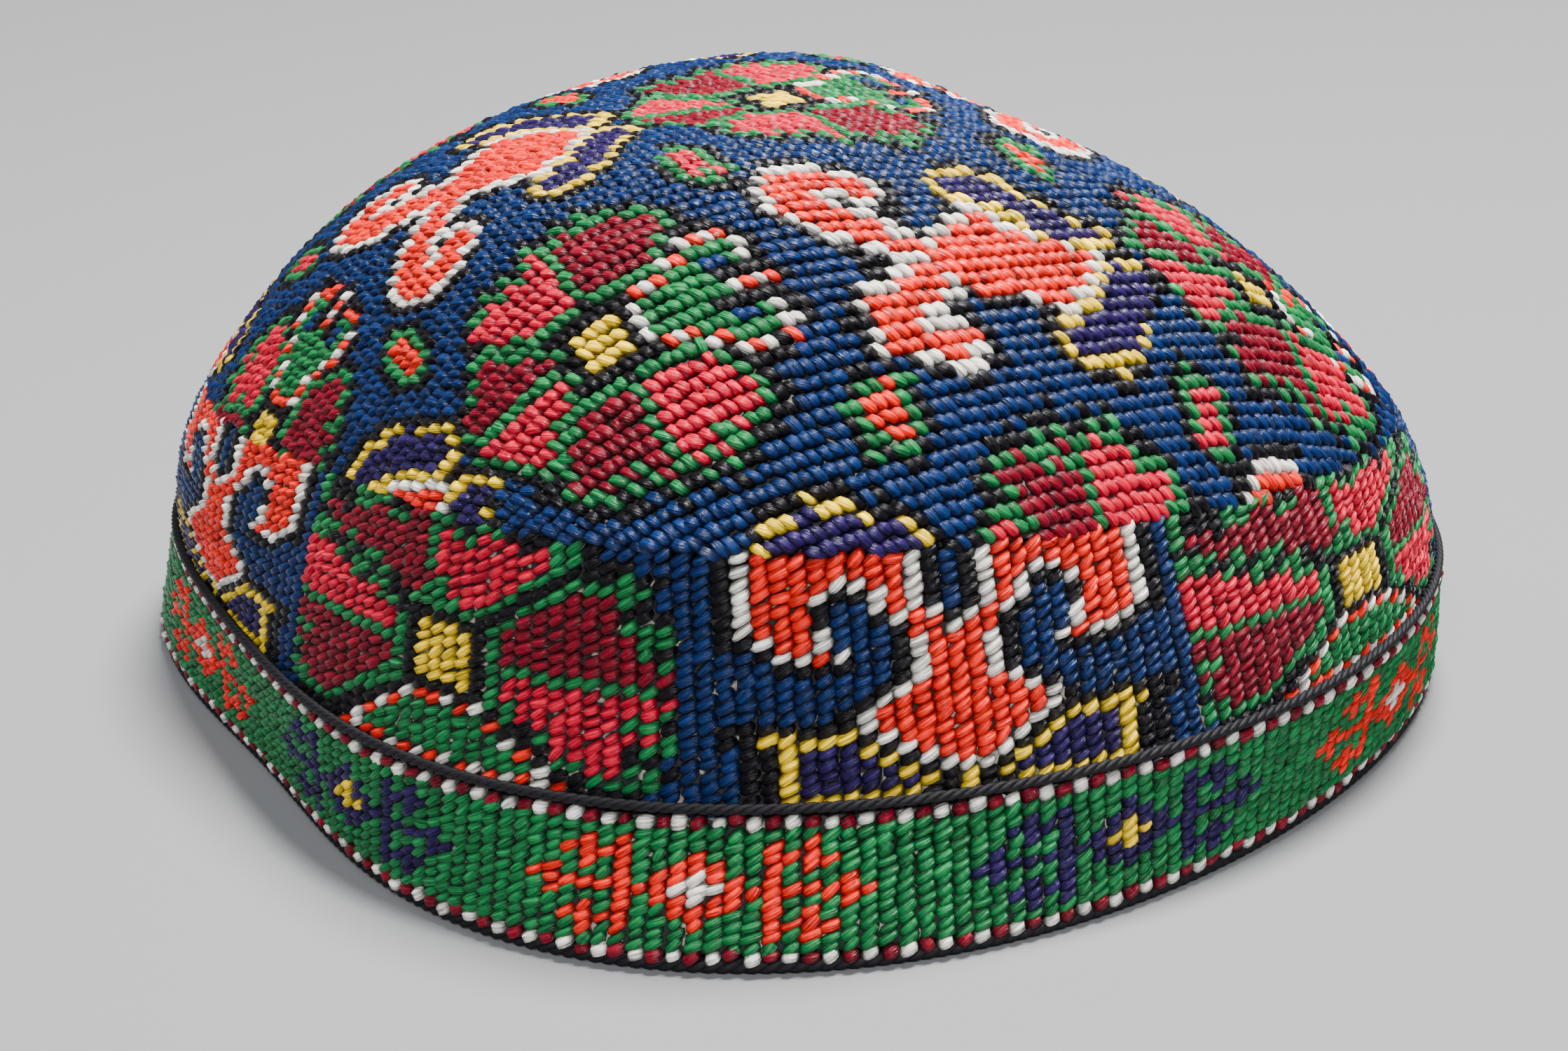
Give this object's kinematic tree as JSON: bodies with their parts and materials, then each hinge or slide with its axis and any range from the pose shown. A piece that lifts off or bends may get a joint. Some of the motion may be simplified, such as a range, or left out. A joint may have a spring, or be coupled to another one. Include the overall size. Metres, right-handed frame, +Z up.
{
  "type": "tubeteika skullcap",
  "caption": "Soft domed skullcap of silk-embroidered cloth with a stitched edging band and black twisted cords along its seam and rim.",
  "frame": {"origin": "on the floor that the rim rests on, under the middle of the cap's box", "axes": "+Z up through the crown, -Y towards the front, +X to the wearer's left seen from the front as right"},
  "size_m": [0.1835, 0.1804, 0.0846],
  "materials": {
    "crown_silk": "silk half-cross stitches in blue, black, green, red and white, soft sheen",
    "wall_silk": "silk half-cross stitches in red, maroon, blue, black, green, yellow and white, soft sheen",
    "band_silk": "green silk half-cross stitches with orange and navy motifs, soft sheen",
    "black_cord": "matt twisted black cotton cord"
  },
  "bodies": {
    "root": {"crown": "crown_silk", "side_wall": "wall_silk", "green_band": "band_silk", "seam_braid": "black_cord", "rim_cord": "black_cord"}
  },
  "joints": []
}
